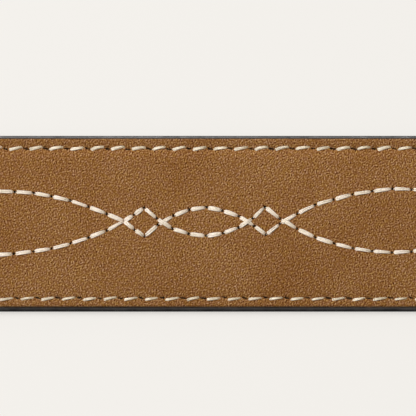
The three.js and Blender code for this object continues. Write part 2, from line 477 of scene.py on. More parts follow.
def napGroup():
    group, given, out = newGroup("napFibres", [
        ("Place", "NodeSocketVector", None),
        ("Fibre Pitch", "NodeSocketFloat", 0.5),
        ("Patch Size", "NodeSocketFloat", 16.0),
    ], ["Fibres", "Patches", "Tint", "Height"])
    pitchScale = mathNode(group, "DIVIDE", 1 / mm, given["Fibre Pitch"])
    patchScale = mathNode(group, "DIVIDE", 1 / mm, given["Patch Size"])
    combed = addNode(group, "ShaderNodeMapping", {"vector_type": "TEXTURE"}, vector=given["Place"],
                     rotation=(0, 0, radians(fibreLook["leaning"])), scale=fibreLook["stretch"])
    waves = addNode(group, "ShaderNodeTexGabor", {"gabor_type": "2D"}, vector=combed.outputs["Vector"],
                    frequency=fibreLook["frequency"], scale=times(group, pitchScale, 0.9),
                    anisotropy=fibreLook["aligned"], orientation=radians(fibreLook["alignedTo"]))
    waves = waves.outputs["Value"]
    patches = noise(group, given["Place"], patchScale, 3.0, 0.7, 0.3)
    tint = noise(group, given["Place"], times(group, pitchScale, fibreLook["tintPerFibre"]), 1.0)
    setInputs(group, out, fibres=remap(group, waves, 0.17, 0.83), patches=remap(group, patches, 0.3, 0.7),
              tint=remap(group, tint, 0.3, 0.7), height=waves)
    return group


# Small grain of a smooth leather or paint film.
def grainGroup():
    group, given, out = newGroup("leatherGrain", [
        ("Place", "NodeSocketVector", None),
        ("Grain Size", "NodeSocketFloat", 0.8),
        ("Tone Size", "NodeSocketFloat", 9.0),
    ], ["Grain", "Tone"])
    scale = mathNode(group, "DIVIDE", 1 / mm, given["Grain Size"])
    bent = noise(group, given["Place"], scale, 2.0, 0.5, 0.6)
    cells = addNode(group, "ShaderNodeTexVoronoi", {"feature": "SMOOTH_F1"}, vector=given["Place"],
                    scale=scale)
    grain = mathNode(group, "MULTIPLY_ADD", cells.outputs["Distance"], 0.6, times(group, bent, 0.5))
    toneScale = mathNode(group, "DIVIDE", 1 / mm, given["Tone Size"])
    setInputs(group, out, grain=grain, tone=noise(group, given["Place"], toneScale, 5.0, 0.75))
    return group


nap = napGroup()
grain = grainGroup()

suedeLook = {
    "deep": (0.045, 0.003, 0.0, 1),  # between the fibres, darker partly from painted shade in the hollows
    "middle": (0.209, 0.089, 0.0245, 1),
    "light": (0.470, 0.283, 0.130, 1),  # fibre tips, lighter partly from painted light on them
    "yellower": (1.0, 1.0, 0.75, 1),
    "greyer": (1.0, 1.0, 1.25, 1),
    "patchDark": (0.9, 0.85, 0.79, 1),  # patches where the nap lies away are darker and redder
    "patchLight": (1.1, 1.15, 1.21, 1),
    # Painted shade inside the needle holes, with a lighter haze in it
    "hole": (0.014, 0.008, 0.005, 1),
    "holeHaze": (0.09, 0.045, 0.02, 1),
    "hazeSize": 0.6,
    "cutEdge": (0.09, 0.061, 0.043, 1),
    "cutRagged": 0.35,
    "fibrePitch": 0.56,
    "patchSize": 16.0,
    "bump": 0.1,
    "combed": (1.1, 0.6),  # painted shade and light: how much darker the suede is painted where it slopes towards the front edge, and lighter where it slopes towards the back, as lamps at the back light it
    "combedSlope": 0.25,  # the steepest slope that the painted shade follows
    "handled": 0.05,  # painted shade and light: how much darker it is painted along the front edge, and lighter along the back one, as lamps at the back light it
    "roughness": 0.92,
    "specular": 0.02,
    "sheen": {"sheenWeight": 0.03, "sheenRoughness": 0.5, "sheenTint": (1.0, 0.8, 0.58, 1)},
}


def suedeMaterial(look):
    material, tree, shader = newMaterial("nappedSuede")
    place = attribute(tree, "flatPlace", "Vector")
    found = placeGroup(tree, nap, place=place, fibrePitch=look["fibrePitch"], patchSize=look["patchSize"])
    ramp = addNode(tree, "ShaderNodeValToRGB", fac=found["Fibres"])
    ramp.color_ramp.elements[0].color = look["deep"]
    ramp.color_ramp.elements[1].color = look["light"]
    ramp.color_ramp.elements.new(0.5).color = look["middle"]
    # Painted shade and light by slope: darker where the surface faces the front edge, lighter where it faces
    # the back one
    facing = partY(tree, tree.nodes.new("ShaderNodeNewGeometry").outputs["Normal"])
    steep = look["combedSlope"]
    away, towards = look["combed"]
    darker = remap(tree, facing, -steep, 0.0, 1 - steep * away, 1.0)
    lighter = remap(tree, facing, 0.0, steep, 1.0, 1 + steep * towards)
    # Painted shade and light across the strap, from darker at the front edge to lighter at the back
    half = strap["halfWidth"] * mm
    handled = remap(tree, partY(tree, place), -half, half, 1 - look["handled"], 1 + look["handled"])
    colour = tinted(tree, ramp.outputs["Color"], times(tree, times(tree, darker, lighter), handled))
    colour = tinted(tree, colour, mixColours(tree, found["Patches"], look["patchDark"], look["patchLight"]))
    colour = tinted(tree, colour, mixColours(tree, found["Tint"], look["yellower"], look["greyer"]))
    rag = noise(tree, place, perMetre(look["cutRagged"]), 2.0)
    cut = mathNode(tree, "ADD", attribute(tree, "cutEdge"), times(tree, rag, 0.6))
    colour = mixColours(tree, remap(tree, cut, 0.9, 1.35), colour, look["cutEdge"])
    # The needle holes and slits are painted dark as shade, by the pit attribute
    haze = remap(tree, noise(tree, place, perMetre(look["hazeSize"]), 1.0), 0.45, 0.62)
    holeShade = mixColours(tree, haze, look["hole"], look["holeHaze"])
    colour = mixColours(tree, attribute(tree, "pit"), colour, holeShade)
    setInputs(tree, shader, baseColor=colour, roughness=look["roughness"], specularIORLevel=look["specular"],
              **look["sheen"])
    addBump(tree, shader, found["Height"], look["bump"], 0.7)
    return material


paintLook = {
    "colour": (0.026, 0.0235, 0.023, 1),
    "thick": (0.008, 0.008, 0.009, 1),  # painted shade: blacker low on the strap's edge, where it faces away from the lamps and the floor beside it lies in shadow
    "lip": (0.048, 0.032, 0.023, 1),  # beside the suede, with its fibres in it
    "roughness": 0.42,
    "roughRange": 0.15,
    "specular": 0.3,
    "toneSize": 3.5,
    "toneRange": (0.3, 1.8),
    "grainSize": 1.2,
    "bump": 0.07,
}
leatherLook = {
    "colour": (0.016, 0.015, 0.015, 1),
    "roughness": 0.55,
    "roughRange": 0.06,
    "specular": 0.5,
    "toneSize": 9.0,
    "toneRange": (1.0, 1.5),
    "grainSize": 0.7,
    "bump": 0.08,
}


def smoothLeather(name, look):
    material, tree, shader = newMaterial(name)
    found = placeGroup(tree, grain, place=objectPlace(tree), grainSize=look["grainSize"],
                       toneSize=look["toneSize"])
    darker, lighter = (tuple(k * c for c in look["colour"][:3]) + (1,) for k in look["toneRange"])
    colour = mixColours(tree, remap(tree, found["Tone"], 0.35, 0.65), darker, lighter)
    low, high = look["roughness"] - look["roughRange"], look["roughness"] + look["roughRange"]
    rough = remap(tree, found["Tone"], 0.35, 0.65, high, low)
    # The edge paint gets painted shade: blacker low on the edge, plain on its rounded top, and the lip colour
    # beside the suede
    if "thick" in look:
        thin = attribute(tree, "thinPaint")
        colour = mixColours(tree, thin, look["thick"], colour)
        colour = mixColours(tree, remap(tree, thin, 1.0, 1.5), colour, look["lip"])
        rough = mathNode(tree, "MULTIPLY_ADD", remap(tree, thin, 0.0, 0.3, 1.0, 0.0), 0.4, rough)
    setInputs(tree, shader, baseColor=colour, roughness=rough, specularIORLevel=look["specular"])
    addBump(tree, shader, found["Grain"], look["bump"], 0.6)
    return material


threadLook = {"ply": 0.09, "slub": 0.34, "tone": 2.4, "bump": 0.03, "roughness": 0.55, "specular": 0.35,
              "sheen": 0.1}
whiteLook = {
    "light": (0.885, 0.775, 0.675, 1),
    "shaded": (0.71, 0.62, 0.475, 1),
    "pulled": (0.90, 0.865, 0.82, 1),  # painted shade over the end of each stitch towards +X, which the key lamp at the left lights less
}
creamLook = {
    "light": (0.87, 0.77, 0.62, 1),
    "shaded": (0.53, 0.445, 0.31, 1),
    "pulled": (0.78, 0.72, 0.62, 1),
}


def threadMaterial(name, look):
    material, tree, shader = newMaterial(name)
    place = objectPlace(tree)
    fuzz = noise(tree, place, perMetre(threadLook["ply"]), 2.0, 0.6, 0.5)
    slub = noise(tree, place, perMetre(threadLook["slub"]), 3.0, 0.6, 0.5)
    tone = noise(tree, place, perMetre(threadLook["tone"]), 1.0)
    mixed = mathNode(tree, "MULTIPLY_ADD", tone, 0.4, times(tree, slub, 0.6))
    colour = mixColours(tree, remap(tree, mixed, 0.38, 0.62), look["shaded"], look["light"])
    # Painted shade over each stitch's end towards +X
    shade = mixColours(tree, attribute(tree, "pulled"), (1, 1, 1, 1), look["pulled"])
    setInputs(tree, shader, baseColor=tinted(tree, colour, shade), roughness=threadLook["roughness"],
              specularIORLevel=threadLook["specular"], sheenWeight=threadLook["sheen"])
    addBump(tree, shader, fuzz, threadLook["bump"], 0.5)
    return material


nickelLook = {
    "dull": (0.60, 0.585, 0.55, 1),
    "bright": (0.70, 0.685, 0.65, 1),
    "lineSize": 0.25,
    "lineStretch": (0.12, 1.0, 1.0),
    "smudgeSize": 9.0,
    "roughness": 0.2,
    "bump": 0.02,
}


def nickelMaterial(look):
    material, tree, shader = newMaterial("satinNickel")
    place = objectPlace(tree)
    stretched = addNode(tree, "ShaderNodeMapping", vector=place, scale=look["lineStretch"]).outputs["Vector"]
    lines = noise(tree, stretched, perMetre(look["lineSize"]), 3.0, 0.6)
    smudge = noise(tree, place, perMetre(look["smudgeSize"]), 3.0)
    rough = mathNode(tree, "MULTIPLY_ADD", lines, 0.08, look["roughness"])
    rough = mathNode(tree, "MULTIPLY_ADD", remap(tree, smudge, 0.35, 0.7), 0.12, rough)
    colour = mixColours(tree, smudge, look["dull"], look["bright"])
    setInputs(tree, shader, baseColor=colour, roughness=rough, metallic=1.0)
    addBump(tree, shader, lines, look["bump"], 0.3)
    return material


suede = suedeMaterial(suedeLook)
edgePaintFilm = smoothLeather("edgePaint", paintLook)
edgePaintFoot = smoothLeather("edgePaintFoot", dict(paintLook, specular=0.0))  # duller over the black backing
backingLeather = smoothLeather("blackLeather", leatherLook)
patternThreadFinish = threadMaterial("whiteThread", whiteLook)
edgeThreadFinish = threadMaterial("creamThread", creamLook)
nickel = nickelMaterial(nickelLook)
print("materials made")

# Needle holes of one repeat of the pattern, charted from the middle of its small lens: x and y of the hole
# above the middle line, then of the one below it. Where both are the same, the two threads share a hole.
chart = [
    (-37.15, 6.5, -37.2, -6.2), (-33.25, 5.75, -33.2, -5.65), (-29.2, 4.8, -29.05, -4.55),
    (-25.25, 3.45, -25.2, -3.25), (-21.35, 1.9, -21.3, -1.75), (-17.6, 0.25, -17.6, 0.25),
    (-15.4, 1.6, -15.25, -1.6), (-13.25, 3.15, -13.1, -3.1), (-10.45, 0.8, -10.2, -0.6),
    (-6.85, 1.35, -7.1, -1.45), (-3.4, 2.65, -3.6, -2.6), (0.35, 3.1, 0.2, -3.15),
    (3.8, 2.35, 3.9, -2.55), (7.3, 1.1, 7.25, -1.35), (10.35, 0.6, 10.65, -1.05),
    (12.95, 3.1, 13.2, -3.0), (16.2, 0.5, 16.2, -0.6), (19.95, 1.55, 19.9, -1.75),
    (23.9, 3.45, 23.8, -3.65), (27.85, 4.6, 27.9, -5.0), (31.95, 5.7, 32.05, -6.1),
    (36.2, 6.35, 36.15, -6.7), (40.6, 6.9, 40.4, -7.0), (44.75, 6.75, 44.65, -6.75),
]
pattern = {
    "repeat": 86.0,
    "repeats": 8,  # and one more small lens
    "middleX": -40.44,  # small lens nearest the middle of the belt
    "middleY": 0.21,
    "wander": 0.27,  # slow drift of the middle line from repeat to repeat
    "lensReach": 9.6,  # closing hole of the first and last small lens
    "crossings": {8: "falling", 13: "rising", 16: "falling"},  # row before each, and the stitch on top
    "lensRows": (9, 14),  # of the chart
    "topHump": 0.4,  # of the stitch on top of a crossing
    "underHump": -0.06,
    "endGap": 0.385,
    "sharedGap": 0.2,  # where both threads go down one hole
}
# The rows along the strap's edges. Phase is where a needle slit lies along X, gap is between two stitches,
# slant is of a stitch's ends out of the row's line, inwards is of the slits, and dip is how deep the row
# pulls the suede down.
edgeRows = {
    "front": {"inset": 2.567, "pitch": 4.480, "phase": -81.11, "gap": 1.68, "slant": 0.22, "inwards": 0.17,
              "dip": 0.07, "bow": 0.02, "wide": 0.93, "taper": -0.1581, "pulledEnd": 1},
    "back": {"inset": 2.845, "pitch": 4.4446, "phase": -83.79, "gap": 1.52, "slant": 0.27, "inwards": 0.1,
             "dip": 0.27, "bow": -0.09, "wide": 1.16, "taper": 0.1972, "pulledEnd": -1},
    "dipInner": 1.0,
    "dipOuter": 1.4,
    "jitter": 0.05,
    "slantVaries": 0.06,
    "bowVaries": (0.6, 1.4),
}


def rowValue(key, y):
    return between(edgeRows["front"][key], edgeRows["back"][key], backShare(y))


def patternHoles():
    reach = pattern["repeats"] // 2
    rows = []
    for k in range(-reach, reach + 1):
        first = pattern["lensRows"][0] if k == -reach else 0
        last = pattern["lensRows"][1] if k == reach else len(chart)
        for i in range(first, last):
            rows.append((i, np.array(chart[i]) + k * pattern["repeat"] * np.array([1, 0, 1, 0])))
    ends = reach * pattern["repeat"] + pattern["lensReach"]
    rows = [(None, np.array([-ends, 0, -ends, 0])), *rows, (None, np.array([ends, 0, ends, 0]))]
    placed = []
    for i, row in rows:
        upper, lower = row[:2] + 0, row[2:] + 0
        for hole in (upper, lower):
            swing = pi * (hole[0] + pattern["repeat"] / 2) / pattern["repeat"]
            hole += (pattern["middleX"], pattern["middleY"] - pattern["wander"] * cos(swing))
        placed.append((i, upper, lower))
    return placed


# The line that the edge rows follow, along the front, round the tip and back, with its outward side.
def edgeLine():
    base, outward = outlineRows(1.0)
    first = np.argmin(np.abs(base[:, 0] - foldMiddle) + (base[:, 1] > 0) * 1e6)
    last = np.argmin(np.abs(base[:, 0] - foldMiddle) + (base[:, 1] < 0) * 1e6)
    base, outward = base[first : last + 1], outward[first : last + 1]
    points = base - outward * rowValue("inset", base[:, 1])[:, None]
    along = np.concatenate([[0], np.cumsum(np.linalg.norm(np.diff(points, axis=0), axis=1))])
    return points, outward, along


rowPoints, rowOutward, rowAlong = edgeLine()


def onRow(along):
    point = np.array([np.interp(along, rowAlong, rowPoints[:, i]) for i in range(2)])
    outward = np.array([np.interp(along, rowAlong, rowOutward[:, i]) for i in range(2)])
    return point, outward / np.linalg.norm(outward)


# Middles of the edge row's needle slits, as lengths along its line.
def edgeStations():
    start, total = rowPoints[0][0], rowAlong[-1]
    rows = []
    for row in (edgeRows["front"], edgeRows["back"]):
        found = []
        k = ceil((start - row["phase"]) / row["pitch"])
        while row["phase"] + k * row["pitch"] < tipStart:
            found.append(row["phase"] + k * row["pitch"] - start + rng.normal(0, edgeRows["jitter"]))
            k += 1
        rows.append(found)
    front, back = rows[0], [total - s for s in reversed(rows[1])]
    count = round((back[0] - front[-1]) / edgeRows["front"]["pitch"])
    return front + list(np.linspace(front[-1], back[0], count + 1)[1:-1]) + back


stations = edgeStations()
holes = patternHoles()

roundHole = {"radius": 0.28, "sharedSize": 0.6, "stray": 0.03, "size": (0.8, 1.05), "squash": (0.75, 1.0)}
slit = {
    "halfLong": 0.64,
    "size": (0.8, 1.05),
    "squash": 0.19,
    "squashVaries": (0.7, 1.5),
    "slant": 0.13,
    "turned": 0.1,
    "stray": 0.05,
    "depth": 0.8,
    "dark": (0.5, 1),
}
nick = {"along": (-0.3, 0.7), "radius": (0.14, 0.24), "squash": (0.6, 1), "depth": 0.7, "dark": (0.7, 1)}


def newPit(at, radius, squash, tilt, depth=1.0, dark=1.0, kind="hole"):
    return dict(at=at, radius=radius, squash=squash, tilt=tilt, depth=depth, dark=dark, kind=kind)


def patternPits():
    found = []
    for _, upper, lower in holes:
        shared = np.allclose(upper, lower)
        radius = roundHole["radius"] * (roundHole["sharedSize"] if shared else 1.0)
        for hole in [upper] if shared else [upper, lower]:
            at = hole + rng.normal(0, roundHole["stray"], 2)
            found.append(newPit(at, radius * rng.uniform(*roundHole["size"]),
                                rng.uniform(*roundHole["squash"]), rng.uniform(0, 3.1)))
    return found


# A slit at each station of the edge rows, with a nick somewhere in it, and both are painted with shade.
def slitPits():
    found = []
    for s in stations:
        point, outward = onRow(s)
        point = point - outward * (rowValue("inwards", point[1]) + rng.normal(0, slit["stray"]))
        direction = np.array([-outward[1], outward[0]])
        lean = direction * slit["halfLong"] + outward * slit["slant"]
        tilt = atan2(lean[1], lean[0]) + rng.normal(0, slit["turned"])
        found.append(newPit(point, slit["halfLong"] * rng.uniform(*slit["size"]),
                            slit["squash"] * rng.uniform(*slit["squashVaries"]), tilt,
                            slit["depth"], rng.uniform(*slit["dark"])))
        found.append(newPit(point + lean * rng.uniform(*nick["along"]), rng.uniform(*nick["radius"]),
                            rng.uniform(*nick["squash"]), tilt, nick["depth"], rng.uniform(*nick["dark"]),
                            "nick"))
    return found


pits = patternPits() + slitPits()
# Scale of each ring of points round a pit, with their number
pitRings = {
    "hole": [(0.72, 8), (1.0, 12), (1.25, 12), (1.7, 12), (2.6, 10)],
    "nick": [(1.0, 8), (1.4, 8), (2.2, 7)],
}
pitProfile = {
    "scale": [0.0, 0.72, 1.0, 1.25, 1.7, 2.6, 3.4],
    "depth": [1.0, 0.9, 0.26, 0.07, 0.03, 0.01, 0.0],
}
# How the painted shade of a pit fades out, by the scale of its ring
pitShadeFade = {"scale": [1.0, 1.25], "share": [1.0, 0.0]}


# How deep each point lies in the needle pits, how much painted shade they put on it, and how near it is to
# one.
def pitDepths(u, y):
    order = np.argsort(u)
    sortedU = u[order]
    depth, dark, near = np.zeros(len(u)), np.zeros(len(u)), np.full(len(u), 9.0)
    for pit in pits:
        reach = pitProfile["scale"][-1] * pit["radius"]
        low, high = np.searchsorted(sortedU, (pit["at"][0] - reach, pit["at"][0] + reach))
        some = order[low:high]
        du, dy = u[some] - pit["at"][0], y[some] - pit["at"][1]
        c, s = cos(pit["tilt"]), sin(pit["tilt"])
        scale = np.hypot(du * c + dy * s, (dy * c - du * s) / pit["squash"]) / pit["radius"]
        found = pit["depth"] * np.interp(scale, pitProfile["scale"], pitProfile["depth"])
        depth[some] = np.maximum(depth[some], found)
        shade = pit["dark"] * np.interp(scale, pitShadeFade["scale"], pitShadeFade["share"])
        dark[some] = np.maximum(dark[some], shade)
        near[some] = np.minimum(near[some], scale)
    return depth, dark, near


# How the suede rounds over at its edges, with the steps in from an edge
roll = {"wide": 0.4, "drop": 0.27, "ragged": 0.035, "steps": (0.0, 0.04, 0.12, 0.24, 0.4),
        "holeSteps": (0.0, 0.06, 0.2, 0.4)}
faceSheet = {
    "outlineStep": 1.2,
    "gridStep": 1.3,
    "gridRows": 33,
    "gridMargin": 1.2,  # between the outermost row of the grid and the outline
    "clearOfRoll": 0.25,  # for the grid
    "ringsClear": 0.02,  # for the rings round the pits
    "raggedReach": 0.15,  # how far the ragged edge may lie outside its line
    "clearOfPits": 3.0,  # in radii of the pit
    "cutWide": 0.45,
}


def edgeGap(u, y):
    rim = insetOf(u, y - strap["offCentre"]) - strap["rim"]
    return np.min([rim, holeDistance(u, y), slotDistance(u, y)], axis=0)


def faceHeight(u, y):
    share = 1 - np.clip(edgeGap(u, y), 0, roll["wide"]) / roll["wide"]
    dropped = roll["drop"] * (1 - np.sqrt(1 - share**2))
    beside = insetOf(u, y) - np.where(y > 0, edgeRows["back"]["inset"], edgeRows["front"]["inset"])
    spread = np.where(beside > 0, edgeRows["dipInner"], edgeRows["dipOuter"])
    dip = rowValue("dip", y) * np.exp(-((beside / spread) ** 2))
    depth, dark, _ = pitDepths(u, y)
    return faceTop - dropped - dip - depth, dark


def onFace(u, y):
    return openStrap(u, y) & (edgeGap(u, y) > -faceSheet["raggedReach"])


# Loose points of the suede's upper side: a grid, and rings round each needle pit.
def facePoints():
    gridU = alongSteps(endU + 1, strap["tipX"], faceSheet["gridStep"])
    grid = gridPoints(gridU, faceSheet["gridRows"], faceSheet["gridMargin"])
    clear = edgeGap(*grid.T) > roll["wide"] + faceSheet["clearOfRoll"]
    clear &= pitDepths(*grid.T)[2] > faceSheet["clearOfPits"]
    rings = []
    for pit in pits:
        rings.append(pit["at"][None, :])
        for scale, count in pitRings[pit["kind"]]:
            rings.append(circleLoop(pit["at"], scale * pit["radius"], count, pit["squash"], pit["tilt"]))
    rings = np.concatenate(rings)
    inside = edgeGap(*rings.T) > roll["wide"] + faceSheet["ringsClear"]
    return np.concatenate([grid[clear], rings[inside]])


def suedeFace():
    rows = outlineRows(faceSheet["outlineStep"])
    aside = np.array([0, strap["offCentre"]])
    ragged = rng.normal(0, roll["ragged"], (len(rows[0]), 1))
    loops = []
    for d in roll["steps"]:
        loops.append(insetLoop(rows, strap["rim"] + d + ragged * (1 - d / roll["wide"])) + aside)
    for grown in zip(*(holeLoops(d) for d in roll["holeSteps"])):
        loops += grown
    loops += [slotLoop(d) for d in roll["holeSteps"]]
    outer = [0] + [len(roll["steps"]) + len(roll["holeSteps"]) * i for i in range(len(holeX) + 1)]
    flat, top, loopPlaces = triangulate(loops, facePoints(), onFace)
    height, dark = faceHeight(*flat.T)
    cut = 1 - np.clip(edgeGap(*flat.T) / faceSheet["cutWide"], 0, 1)
    under, underFaces, underLoops = triangulate([loops[i] for i in outer], turnGrid(3.0), openStrap)
    points = np.concatenate([np.c_[flat, height], np.c_[under, np.full(len(under), faceLow)]])
    faces = sheetFaces(top) + sheetFaces(underFaces, len(flat), True)
    faces += walls(underLoops, len(flat), [loopPlaces[i] for i in outer], 0)
    zeros = np.zeros(len(under))
    piece = makePiece("suedeFace", bend(points), faces, [suede],
                      {"pit": np.concatenate([dark, zeros]), "cutEdge": np.concatenate([cut, zeros + 1]),
                       "flatPlace": points * mm})
    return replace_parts(piece, "strap_face", "strap_face_turn")


backing = {"inset": 0.5, "groove": 0.42, "grooveWide": 0.55, "outlineStep": 2.5}


# The black layer, with a groove under it for the edge row.
def blackBacking():
    rows = outlineRows(backing["outlineStep"])
    middle = (edgeRows["front"]["inset"] + edgeRows["back"]["inset"]) / 2
    across = np.array([-1.0, -0.5, 0.0, 0.5, 1.0]) * backing["grooveWide"]
    loops = [insetLoop(rows, backing["inset"]), *holeLoops(), slotLoop(0.0)]
    under, underFaces, underLoops = triangulate(loops + [insetLoop(rows, middle + d) for d in across],
                                                turnGrid(4.0), openStrap)
    share = np.clip(np.abs(insetOf(*under.T) - middle) / backing["grooveWide"], 0, 1)
    low = np.where(under[:, 0] > foldMiddle, backing["groove"] * (1 - eased(share)), 0)
    top, topFaces, topLoops = triangulate(loops, turnGrid(3.0), openStrap)
    points = np.concatenate([np.c_[under, low], np.c_[top, np.full(len(top), strap["backing"])]])
    faces = sheetFaces(underFaces, 0, True) + sheetFaces(topFaces, len(under))
    faces += walls(underLoops, 0, topLoops, len(under))
    piece = makePiece("blackBacking", bend(points), faces, [backingLeather])
    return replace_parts(piece, "strap_backing", "strap_backing_turn")


# Section of the paint over the strap's edge: distance in from the outline, and height.
edgeBead = [(0.45, 0.1), (0.3, 0.05), (0.1, 0.12), (0.02, 0.35), (0.0, 0.8), (0.0, 1.6), (0.0, 2.3),
            (0.03, 2.66), (0.1, 2.88), (0.2, 2.99), (0.34, 3.06), (0.5, 3.1), (0.72, 3.13), (0.96, 3.13),
            (0.96, 2.06), (0.45, 2.04)]
bead = {
    "outlineStep": 1.6,
    "footRows": 6,  # over the black backing
    "rippleInset": (0.3, 0.8),  # the part of its top that ripples
    "ripples": [(0.0175, 61, 0.0), (0.015, 97, 2.1), (0.0125, 173, 4.0)],  # size, waves in all, phase
    # Painted shade covers the edge up to this height, and fades out above it
    "thinFrom": 2.72,
    "thinOver": 0.32,
    "lipFrom": 0.45,
    "lipOver": 0.8,
}


def edgePaint():
    rows = outlineRows(bead["outlineStep"])
    count = len(rows[0])
    ripple = sum(size * np.sin(around(count) * number + phase) for size, number, phase in bead["ripples"])
    points = []
    for inset, h in edgeBead:
        rippled = bead["rippleInset"][0] < inset < bead["rippleInset"][1] and h > bead["thinFrom"]
        flat = insetLoop(rows, (inset + ripple * rippled)[:, None])
        points.append(np.c_[flat, np.full(count, h)])
    rings = np.stack(points, 1).reshape(-1, 3)
    faces = [f[::-1] for f in loftFaces(count, len(edgeBead), True)]
    inset = np.tile([inset for inset, _ in edgeBead], count)
    # 0 where the edge is painted blacker as shade, 1 on its top, and above 1 at the lip beside the suede
    thin = np.clip((rings[:, 2] - bead["thinFrom"]) / bead["thinOver"], 0, 1)
    thin += np.clip((inset - bead["lipFrom"]) / bead["lipOver"], 0, 0.5)
    kinds = [int(i % len(edgeBead) < bead["footRows"]) for i in range(len(faces))]
    return makePiece("edgePaint", bend(rings), faces, [edgePaintFilm, edgePaintFoot],
                     {"thinPaint": thin}, kinds, 60)


# A stitch is strands that lie side by side. Wide scales their width, which tapers along the stitch and is
# pinched at both ends. It rises out of one hole, arches and dives into the next, and bows or curls sideways.
# Sunk is how deep its foot lies in the suede.
plainStitch = {"wide": 1.0, "taper": 0.0, "pinch": 0.0, "bow": 0.0, "curl": 0.0, "hump": 0.0, "pulledEnd": 1}
patternStitch = dict(plainStitch, strands=4, sides=8, rings=13, blunt=0.42, rise=0.3, plunge=0.75, arch=0.3,
                     twist=1.1, spread=0.268, stack=0.1, strand=0.185, uneven=0.08,
                     wide=0.98, taper=-0.1, pinch=0.1, sunk=0.02)
edgeStitch = dict(plainStitch, strands=3, sides=8, rings=12, blunt=0.5, rise=0.26, plunge=0.6, arch=0.26,
                  twist=1.6, spread=0.13, stack=0.09, strand=0.17, uneven=0.06, sunk=-0.01)
underStitch = dict(plainStitch, strands=2, sides=6, rings=7, blunt=0.5, rise=0.0, plunge=0.4, arch=0.0,
                   twist=1.2, spread=0.13, stack=0.06, strand=0.15, uneven=0.03)
stitchForm = {"riseVaries": 0.08, "humpReach": 0.9, "archPower": 2.5, "flatter": 0.95, "pulledFrom": 0.35,
              "pulledSlope": 0.75}


def stitch(start, end, look, base):
    start, end = np.asarray(start, float), np.asarray(end, float)
    along = end - start
    length = np.linalg.norm(along)
    along /= length
    across = np.array([-along[1], along[0]])
    q = np.linspace(-1, 1, look["rings"])
    sine, cosine = np.sin(q * pi / 2), np.cos(q * pi / 2)
    v = np.sign(sine) * np.abs(sine) ** look["blunt"]
    x = v * length / 2
    rise = look["rise"] * (1 + rng.normal(0, stitchForm["riseVaries"]))
    rise = rise + look["hump"] * np.exp(-((x / stitchForm["humpReach"]) ** 2))
    z = -look["plunge"] + (rise + look["plunge"]) * np.abs(cosine) ** look["blunt"]
    z -= look["arch"] * np.abs(v) ** stitchForm["archPower"]
    sway = look["bow"] * (1 - v * v) + look["curl"] * np.sin(pi * v)
    slopeX, slopeZ = np.gradient(x), np.gradient(z)
    size = np.maximum(np.hypot(slopeX, slopeZ), 1e-6)
    normalX, normalZ = -slopeZ / size, slopeX / size
    fat = look["wide"] + look["taper"] * v - look["pinch"] * np.abs(v) ** 3
    fat = fat * (1 + rng.normal(0, look["uneven"]))
    phase = rng.uniform(0, 2 * pi)
    beta = around(look["sides"])
    # Painted shade: darker towards the stitch's +X end, away from the key lamp at the left
    pulled = stitchForm["pulledFrom"] + stitchForm["pulledSlope"] * v * look["pulledEnd"]
    pulled = eased(np.clip(pulled, 0, 1))
    middle = (start + end) / 2
    points, faces = [], []
    for k in range(look["strands"]):
        turnAngle = phase + 2 * pi * k / look["strands"] + look["twist"] * q
        offAcross = fat * look["spread"] * np.cos(turnAngle)
        offUp = look["stack"] * np.sin(turnAngle)
        ringAcross = offAcross[:, None] + fat[:, None] * look["strand"] * np.cos(beta)
        ringUp = offUp[:, None] + look["strand"] * stitchForm["flatter"] * np.sin(beta)
        alongStitch = x[:, None] + normalX[:, None] * ringUp
        lift = z[:, None] + normalZ[:, None] * ringUp + base
        sideways = ringAcross + sway[:, None]
        u, y = (middle[i] + along[i] * alongStitch + across[i] * sideways for i in range(2))
        faces += loftFaces(look["rings"], look["sides"], False, k * look["rings"] * look["sides"])
        points.append(np.stack([u, y, lift], -1).reshape(-1, 3))
    return np.concatenate(points), faces, np.tile(np.repeat(pulled, look["sides"]), look["strands"])


def threadPiece(name, stitches, material):
    faces, start = [], 0
    for points, someFaces, _ in stitches:
        faces += [tuple(start + i for i in f) for f in someFaces]
        start += len(points)
    points, pulled = (np.concatenate([s[i] for s in stitches]) for i in (0, 2))
    return makePiece(name, bend(points), faces, [material], {"pulled": pulled}, sharp=70)


# Two threads run along the pattern and change sides at its crossings.
def patternThreads():
    threads = ([], [])
    swapped = False
    for (i, *here), (_, *after) in zip(holes, holes[1:]):
        crossing = pattern["crossings"].get(i)
        for side in (0, 1):
            a, b = here[side], after[1 - side if crossing else side]
            look = dict(patternStitch)
            if crossing:
                top = (side == 0) == (crossing == "falling")
                look["hump"] = pattern["topHump" if top else "underHump"]
            along = (b - a) / np.linalg.norm(b - a)
            first, last = (pattern["sharedGap" if np.allclose(*pair) else "endGap"] for pair in (here, after))
            found = stitch(a + along * first, b - along * last, look, faceTop - look["sunk"])
            threads[int(side != swapped)].append(found)
        if crossing:
            swapped = not swapped
    for name, found in zip(("patternThreadA", "patternThreadB"), threads):
        threadPiece(name, found, patternThreadFinish)


def edgeThreads():
    front, back = [], []
    for s, after in zip(stations, stations[1:]):
        isBack = onRow(s)[0][1] > 0
        row = edgeRows["back" if isBack else "front"]
        start, startOut = onRow(s + row["gap"] / 2)
        end, endOut = onRow(after - row["gap"] / 2)
        look = dict(edgeStitch, **{key: row[key] for key in ("wide", "taper", "pulledEnd")})
        look["bow"] = row["bow"] * rng.uniform(*edgeRows["bowVaries"])
        startSlant, endSlant = rng.normal(row["slant"], edgeRows["slantVaries"], 2)
        base = faceTop - row["dip"] - look["sunk"]
        found = stitch(start + startOut * startSlant, end - endOut * endSlant, look, base)
        (back if isBack else front).append(found)
    threadPiece("edgeThreadFront", front, edgeThreadFinish)
    threadPiece("edgeThreadBack", back, edgeThreadFinish)


underRow = {"endGap": 0.25, "deep": 0.24, "fromFold": 4}


